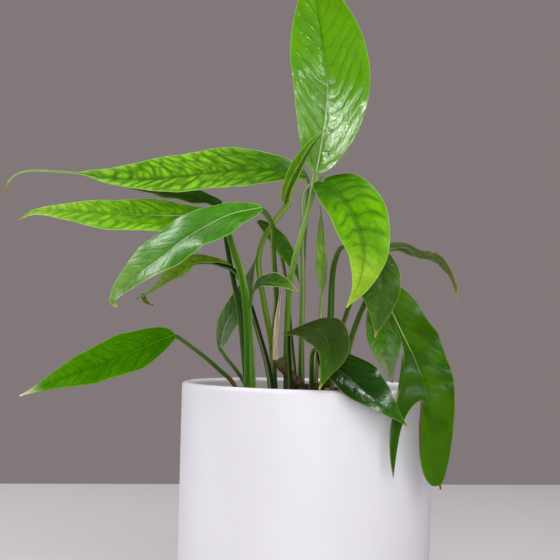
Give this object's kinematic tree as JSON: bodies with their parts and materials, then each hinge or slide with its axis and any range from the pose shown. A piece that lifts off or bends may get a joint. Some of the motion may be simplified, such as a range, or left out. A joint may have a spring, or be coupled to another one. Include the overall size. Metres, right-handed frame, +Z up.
{
  "type": "potted pothos plant",
  "caption": "Bushy pothos with long-stalked drip-tip leaves, one of them cut at its edge, in soil in a plain white cylinder pot.",
  "frame": {"origin": "centre of the pot's flat underside", "axes": "+Z up along the pot's axis; +X towards the side that the split leaf hangs on; the picture's view looks along +Y"},
  "size_m": [0.261, 0.1504, 0.3752],
  "materials": {
    "leaf_bright": "satin",
    "leaf_mid": "gloss",
    "leaf_deep": "satin",
    "leaf_dark": "satin",
    "leaf_shade": "gloss",
    "leaf_young": "satin",
    "sheath_dry": "matte",
    "stem_bark": "matte",
    "pot_glaze": "satin",
    "soil_mix": "matte"
  },
  "bodies": {
    "root": {"pot": "pot_glaze", "soil": "soil_mix", "stem_brown": "stem_bark", "sheath_papery": "sheath_dry", "leaf_top": "leaf_mid", "leaf_folded": "leaf_bright", "leaf_long_left": "leaf_bright", "leaf_second_left": "leaf_bright", "leaf_behind_left": "leaf_shade", "leaf_front_left": "leaf_deep", "leaf_arched_left": "leaf_dark", "leaf_low_left": "leaf_deep", "leaf_small_grey": "leaf_dark", "leaf_small_right": "leaf_deep", "leaf_heart_right": "leaf_bright", "leaf_behind_right": "leaf_dark", "leaf_far_right": "leaf_dark", "leaf_inner_right": "leaf_deep", "leaf_split_right": "leaf_dark", "leaf_rim_dark": "leaf_shade", "leaf_rim_heart": "leaf_dark", "leaf_hanging_dark": "leaf_shade", "leaf_rolled_new": "leaf_young"}
  },
  "joints": []
}
